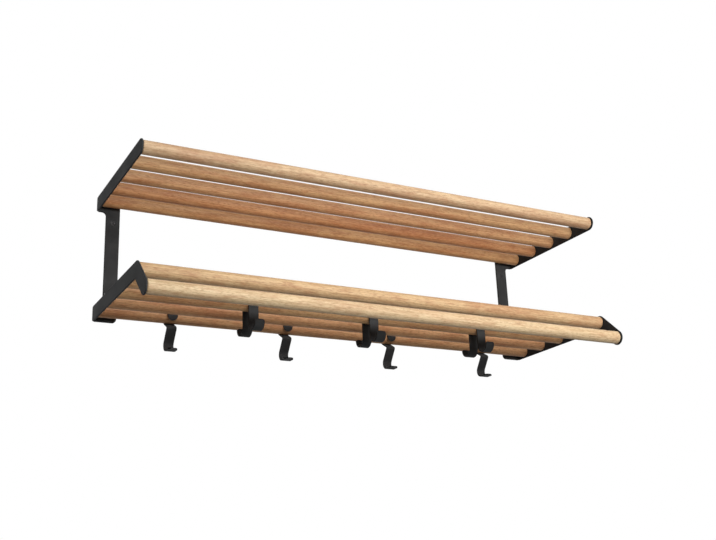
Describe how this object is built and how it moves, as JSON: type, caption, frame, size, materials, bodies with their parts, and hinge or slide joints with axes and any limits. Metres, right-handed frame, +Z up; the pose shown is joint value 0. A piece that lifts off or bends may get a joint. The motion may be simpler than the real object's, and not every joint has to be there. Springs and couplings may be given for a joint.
{
  "type": "wall hat shelf",
  "caption": "Two-tier wall hat shelf of round oak bars between black steel end frames, with a low front coat rail and hooks that slide along the bars of the lower tier.",
  "frame": {"origin": "centre of the rectangle of the four wall screws, in the plane of the wall", "axes": "+X along the wall to the viewer's right and along the bars, +Y into the wall, +Z up"},
  "size_m": [1, 0.3524, 0.3085],
  "materials": {
    "oak": "oiled, satin",
    "black_steel": "fine-textured black powder coat",
    "pin_steel": "plain turned steel"
  },
  "bodies": {
    "frame": {"upper_bar_1": "oak", "upper_bar_2": "oak", "upper_bar_3": "oak", "upper_bar_4": "oak", "upper_bar_5": "oak", "lower_bar_1": "oak", "lower_bar_2": "oak", "lower_bar_3": "oak", "lower_bar_4": "oak", "lower_bar_5": "oak", "coat_rail": "oak", "upper_arm_left": "black_steel", "upper_arm_right": "black_steel", "lower_arm_left": "black_steel", "lower_arm_right": "black_steel", "wall_plate_left": "black_steel", "wall_plate_right": "black_steel", "bar_pins_left": "pin_steel", "bar_pins_right": "pin_steel"},
    "long_hook_1": {"long_hook_1": "black_steel"},
    "long_hook_2": {"long_hook_2": "black_steel"},
    "long_hook_3": {"long_hook_3": "black_steel"},
    "long_hook_4": {"long_hook_4": "black_steel"},
    "double_hook_1": {"double_hook_1": "black_steel"},
    "double_hook_2": {"double_hook_2": "black_steel"},
    "double_hook_3": {"double_hook_3": "black_steel"}
  },
  "joints": [
    {"name": "long_hook_1_slide", "type": "slide", "parent": "frame", "child": "long_hook_1", "axis": [1, 0, 0], "range_m": [-0.1315, 0.1115]},
    {"name": "long_hook_2_slide", "type": "slide", "parent": "frame", "child": "long_hook_2", "axis": [1, 0, 0], "range_m": [-0.1115, 0.1115]},
    {"name": "long_hook_3_slide", "type": "slide", "parent": "frame", "child": "long_hook_3", "axis": [1, 0, 0], "range_m": [-0.1115, 0.1115]},
    {"name": "long_hook_4_slide", "type": "slide", "parent": "frame", "child": "long_hook_4", "axis": [1, 0, 0], "range_m": [-0.1115, 0.1105]},
    {"name": "double_hook_1_slide", "type": "slide", "parent": "frame", "child": "double_hook_1", "axis": [1, 0, 0], "range_m": [-0.2455, 0.1183]},
    {"name": "double_hook_2_slide", "type": "slide", "parent": "frame", "child": "double_hook_2", "axis": [1, 0, 0], "range_m": [-0.1183, 0.1183]},
    {"name": "double_hook_3_slide", "type": "slide", "parent": "frame", "child": "double_hook_3", "axis": [1, 0, 0], "range_m": [-0.1183, 0.213]}
  ]
}
